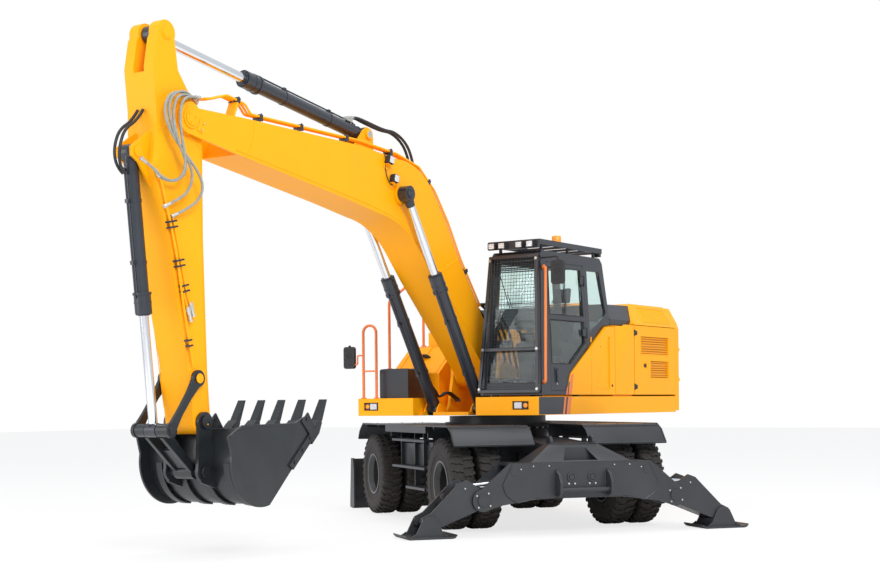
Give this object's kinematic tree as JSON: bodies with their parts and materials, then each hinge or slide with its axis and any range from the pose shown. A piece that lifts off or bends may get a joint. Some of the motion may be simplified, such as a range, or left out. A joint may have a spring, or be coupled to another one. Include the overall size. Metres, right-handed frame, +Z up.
{
  "type": "wheeled excavator",
  "caption": "Wheeled excavator with twin tyres, outrigger legs, blade, slewing upper structure with cab, one-piece boom, arm and toothed bucket.",
  "frame": {"origin": "middle of the machine's footprint box, on the ground, in the stored pose", "axes": "+X the way the boom points, +Y towards the cab's side, +Z up; the travelling gear is turned 128 degrees under the upper structure"},
  "size_m": [9.0219, 6.0016, 4.9127],
  "materials": {
    "bucket_steel": "matt",
    "chassis_paint": "satin",
    "dark_paint": "satin",
    "engine_grey": "matt",
    "glass": "polished",
    "lamp_plastic": "gloss",
    "rail_orange": "gloss",
    "rim_paint": "satin",
    "rod_chrome": "polished",
    "rubber": "matt",
    "seat_trim": "matt",
    "yellow_paint": "gloss"
  },
  "bodies": {
    "chassis": {"chassis_frame": "chassis_paint", "rear_axle": "chassis_paint", "front_axle": "chassis_paint", "outrigger_beam": "chassis_paint", "fenders": "chassis_paint"},
    "upper": {"upper_frame": "yellow_paint", "counterweight": "dark_paint", "engine_housing": "yellow_paint", "engine_block": "engine_grey", "tool_box": "dark_paint", "tanks": "yellow_paint", "handrails": "rail_orange", "mirrors": "dark_paint", "cab_shell": "yellow_paint", "cab_glass": "glass", "cab_interior": "seat_trim", "front_guard": "dark_paint", "roof_rack": "dark_paint", "lamps": "lamp_plastic"},
    "engine_hood": {"engine_hood": "yellow_paint", "rear_cowl": "dark_paint"},
    "engine_door_left": {"engine_door_left": "yellow_paint"},
    "engine_door_right": {"engine_door_right": "yellow_paint"},
    "battery_door": {"battery_door": "yellow_paint"},
    "cab_door": {"cab_door": "yellow_paint", "door_glass": "glass"},
    "boom": {"boom": "yellow_paint"},
    "boom_barrels": {"boom_barrels": "dark_paint"},
    "boom_rods": {"boom_rods": "rod_chrome"},
    "arm": {"arm": "yellow_paint"},
    "arm_barrel": {"arm_barrel": "dark_paint"},
    "arm_rod": {"arm_rod": "rod_chrome"},
    "rocker": {"rocker": "dark_paint"},
    "link": {"link": "bucket_steel"},
    "bucket_barrel": {"bucket_barrel": "dark_paint"},
    "bucket_rod": {"bucket_rod": "rod_chrome"},
    "bucket": {"bucket": "bucket_steel"},
    "blade": {"blade": "chassis_paint"},
    "blade_barrels": {"blade_barrels": "chassis_paint"},
    "blade_rods": {"blade_rods": "rod_chrome"},
    "leg_left": {"leg_left": "chassis_paint"},
    "foot_left": {"foot_left": "chassis_paint"},
    "leg_barrel_left": {"leg_barrel_left": "chassis_paint"},
    "leg_rod_left": {"leg_rod_left": "rod_chrome"},
    "leg_right": {"leg_right": "chassis_paint"},
    "foot_right": {"foot_right": "chassis_paint"},
    "leg_barrel_right": {"leg_barrel_right": "chassis_paint"},
    "leg_rod_right": {"leg_rod_right": "rod_chrome"},
    "knuckle_left": {"knuckle_left": "chassis_paint"},
    "knuckle_right": {"knuckle_right": "chassis_paint"},
    "wheel_rear_left": {"tyres_rear_left": "rubber", "rim_rear_left": "rim_paint"},
    "wheel_rear_right": {"tyres_rear_right": "rubber", "rim_rear_right": "rim_paint"},
    "wheel_front_left": {"tyres_front_left": "rubber", "rim_front_left": "rim_paint"},
    "wheel_front_right": {"tyres_front_right": "rubber", "rim_front_right": "rim_paint"}
  },
  "joints": [
    {"name": "slew", "type": "hinge", "parent": "chassis", "child": "upper", "pos_m": [-1.77108, -0.27698, 1.27], "axis": [0, 0, 1], "continuous": true},
    {"name": "boom_lift", "type": "hinge", "parent": "upper", "child": "boom", "pos_m": [-1.39108, -0.27698, 1.78], "axis": [0, -1, 0], "range_deg": [-52, 38]},
    {"name": "boom_barrel_swing", "type": "hinge", "parent": "upper", "child": "boom_barrels", "pos_m": [-0.89108, -0.27698, 1.345], "axis": [0, -1, 0], "range_deg": [-53, 39]},
    {"name": "boom_rod_slide", "type": "slide", "parent": "boom_barrels", "child": "boom_rods", "axis": [0.5347, 0, 0.8451], "range_m": [-0.57, 0.42]},
    {"name": "arm_swing", "type": "hinge", "parent": "boom", "child": "arm", "pos_m": [3.88998, -0.27698, 4.05439], "axis": [0, 1, 0], "range_deg": [-74, 36]},
    {"name": "arm_barrel_swing", "type": "hinge", "parent": "boom", "child": "arm_barrel", "pos_m": [0.99418, -0.27698, 4.33157], "axis": [0, -1, 0], "range_deg": [-3, 4]},
    {"name": "arm_rod_slide", "type": "slide", "parent": "arm_barrel", "child": "arm_rod", "axis": [0.989, 0, 0.1477], "range_m": [-0.92, 0.45]},
    {"name": "bucket_curl", "type": "hinge", "parent": "arm", "child": "bucket", "pos_m": [3.71905, -0.27698, 1.25961], "axis": [0, 1, 0], "range_deg": [-140, 20]},
    {"name": "rocker_swing", "type": "hinge", "parent": "arm", "child": "rocker", "pos_m": [3.80396, -0.27698, 1.66518], "axis": [0, 1, 0], "range_deg": [-114, 18]},
    {"name": "link_swing", "type": "hinge", "parent": "rocker", "child": "link", "pos_m": [4.16564, -0.27698, 1.19273], "axis": [0, -1, 0], "range_deg": [-76, 12]},
    {"name": "bucket_barrel_swing", "type": "hinge", "parent": "arm", "child": "bucket_barrel", "pos_m": [4.42879, -0.27698, 3.69082], "axis": [0, -1, 0], "range_deg": [-2, 2]},
    {"name": "bucket_rod_slide", "type": "slide", "parent": "bucket_barrel", "child": "bucket_rod", "axis": [-0.1048, 0, -0.9945], "range_m": [-0.99, 0.16]},
    {"name": "leg_lift_left", "type": "hinge", "parent": "chassis", "child": "leg_left", "pos_m": [0.59523, 0.93258, 0.385], "axis": [-0.6157, -0.788, 0], "range_deg": [-8, 75]},
    {"name": "foot_tilt_left", "type": "hinge", "parent": "leg_left", "child": "foot_left", "pos_m": [1.06016, 0.56934, 0.165], "axis": [-0.6157, -0.788, 0], "range_deg": [-12, 12]},
    {"name": "leg_barrel_swing_left", "type": "hinge", "parent": "chassis", "child": "leg_barrel_left", "pos_m": [-0.19278, 1.54824, 0.61], "axis": [-0.6157, -0.788, 0], "range_deg": [-2, 5]},
    {"name": "leg_rod_slide_left", "type": "slide", "parent": "leg_barrel_left", "child": "leg_rod_left", "axis": [0.7855, -0.6137, -0.0802], "range_m": [-0.275, 0.04]},
    {"name": "leg_lift_right", "type": "hinge", "parent": "chassis", "child": "leg_right", "pos_m": [-1.16991, 2.31166, 0.385], "axis": [0.6157, 0.788, 0], "range_deg": [-8, 75]},
    {"name": "foot_tilt_right", "type": "hinge", "parent": "leg_right", "child": "foot_right", "pos_m": [-1.63484, 2.6749, 0.165], "axis": [0.6157, 0.788, 0], "range_deg": [-12, 12]},
    {"name": "leg_barrel_swing_right", "type": "hinge", "parent": "chassis", "child": "leg_barrel_right", "pos_m": [-0.3819, 1.696, 0.61], "axis": [0.6157, 0.788, 0], "range_deg": [-2, 5]},
    {"name": "leg_rod_slide_right", "type": "slide", "parent": "leg_barrel_right", "child": "leg_rod_right", "axis": [-0.7855, 0.6137, -0.0802], "range_m": [-0.275, 0.04]},
    {"name": "blade_lift", "type": "hinge", "parent": "chassis", "child": "blade", "pos_m": [-2.78077, -1.56932, 0.47], "axis": [-0.788, 0.6157, 0], "range_deg": [-6, 25]},
    {"name": "blade_barrel_swing", "type": "hinge", "parent": "chassis", "child": "blade_barrels", "pos_m": [-2.81771, -1.6166, 0.86], "axis": [-0.788, 0.6157, 0], "range_deg": [-6, 21]},
    {"name": "blade_rod_slide", "type": "slide", "parent": "blade_barrels", "child": "blade_rods", "axis": [-0.4937, -0.6319, -0.5975], "range_m": [-0.17, 0.045]},
    {"name": "steer_left", "type": "hinge", "parent": "chassis", "child": "knuckle_left", "pos_m": [-2.09938, -1.60677, 0.515], "axis": [0, 0, 1], "range_deg": [-28, 28]},
    {"name": "steer_right", "type": "hinge", "parent": "chassis", "child": "knuckle_right", "pos_m": [-2.98195, -0.91723, 0.515], "axis": [0, 0, 1], "range_deg": [-28, 28]},
    {"name": "roll_rear_left", "type": "hinge", "parent": "chassis", "child": "wheel_rear_left", "pos_m": [-0.04968, 0.34509, 0.515], "axis": [0.788, -0.6157, 0], "continuous": true},
    {"name": "roll_rear_right", "type": "hinge", "parent": "chassis", "child": "wheel_rear_right", "pos_m": [-1.58394, 1.54378, 0.515], "axis": [0.788, -0.6157, 0], "continuous": true},
    {"name": "roll_front_left", "type": "hinge", "parent": "knuckle_left", "child": "wheel_front_left", "pos_m": [-1.77353, -1.86134, 0.515], "axis": [0.788, -0.6157, 0], "continuous": true},
    {"name": "roll_front_right", "type": "hinge", "parent": "knuckle_right", "child": "wheel_front_right", "pos_m": [-3.30779, -0.66265, 0.515], "axis": [0.788, -0.6157, 0], "continuous": true},
    {"name": "cab_door_swing", "type": "hinge", "parent": "upper", "child": "cab_door", "pos_m": [-1.85108, 0.94764, 2.3], "axis": [0, -0.0541, 0.9985], "range_deg": [0, 105]},
    {"name": "battery_door_swing", "type": "hinge", "parent": "upper", "child": "battery_door", "pos_m": [-2.49508, 0.98902, 1.9], "axis": [0, 0, 1], "range_deg": [0, 95]},
    {"name": "engine_door_left_swing", "type": "hinge", "parent": "upper", "child": "engine_door_left", "pos_m": [-3.02508, 0.98902, 1.9], "axis": [0, 0, -1], "range_deg": [0, 95]},
    {"name": "engine_door_right_swing", "type": "hinge", "parent": "upper", "child": "engine_door_right", "pos_m": [-3.02508, -1.54298, 1.9], "axis": [0, 0, 1], "range_deg": [0, 95]},
    {"name": "engine_hood_lift", "type": "hinge", "parent": "upper", "child": "engine_hood", "pos_m": [-4.22608, -0.27698, 2.668], "axis": [0, -1, 0], "range_deg": [0, 65]}
  ],
  "couplings": [
    {"joint": "boom_barrel_swing", "follows": "boom_lift", "ratio": 0.99},
    {"joint": "boom_rod_slide", "follows": "boom_lift", "m_per_rad": 0.613},
    {"joint": "arm_barrel_swing", "follows": "arm_swing", "ratio": -0.032},
    {"joint": "arm_rod_slide", "follows": "arm_swing", "m_per_rad": 0.7047},
    {"joint": "rocker_swing", "follows": "bucket_curl", "ratio": 0.8},
    {"joint": "link_swing", "follows": "bucket_curl", "ratio": 0.535},
    {"joint": "bucket_barrel_swing", "follows": "bucket_curl", "ratio": -0.004},
    {"joint": "bucket_rod_slide", "follows": "bucket_curl", "m_per_rad": 0.401},
    {"joint": "leg_barrel_swing_left", "follows": "leg_lift_left", "ratio": 0.05},
    {"joint": "leg_rod_slide_left", "follows": "leg_lift_left", "m_per_rad": -0.197},
    {"joint": "leg_barrel_swing_right", "follows": "leg_lift_right", "ratio": 0.05},
    {"joint": "leg_rod_slide_right", "follows": "leg_lift_right", "m_per_rad": -0.197},
    {"joint": "blade_barrel_swing", "follows": "blade_lift", "ratio": 0.77},
    {"joint": "blade_rod_slide", "follows": "blade_lift", "m_per_rad": -0.37},
    {"joint": "steer_right", "follows": "steer_left", "ratio": 1}
  ]
}
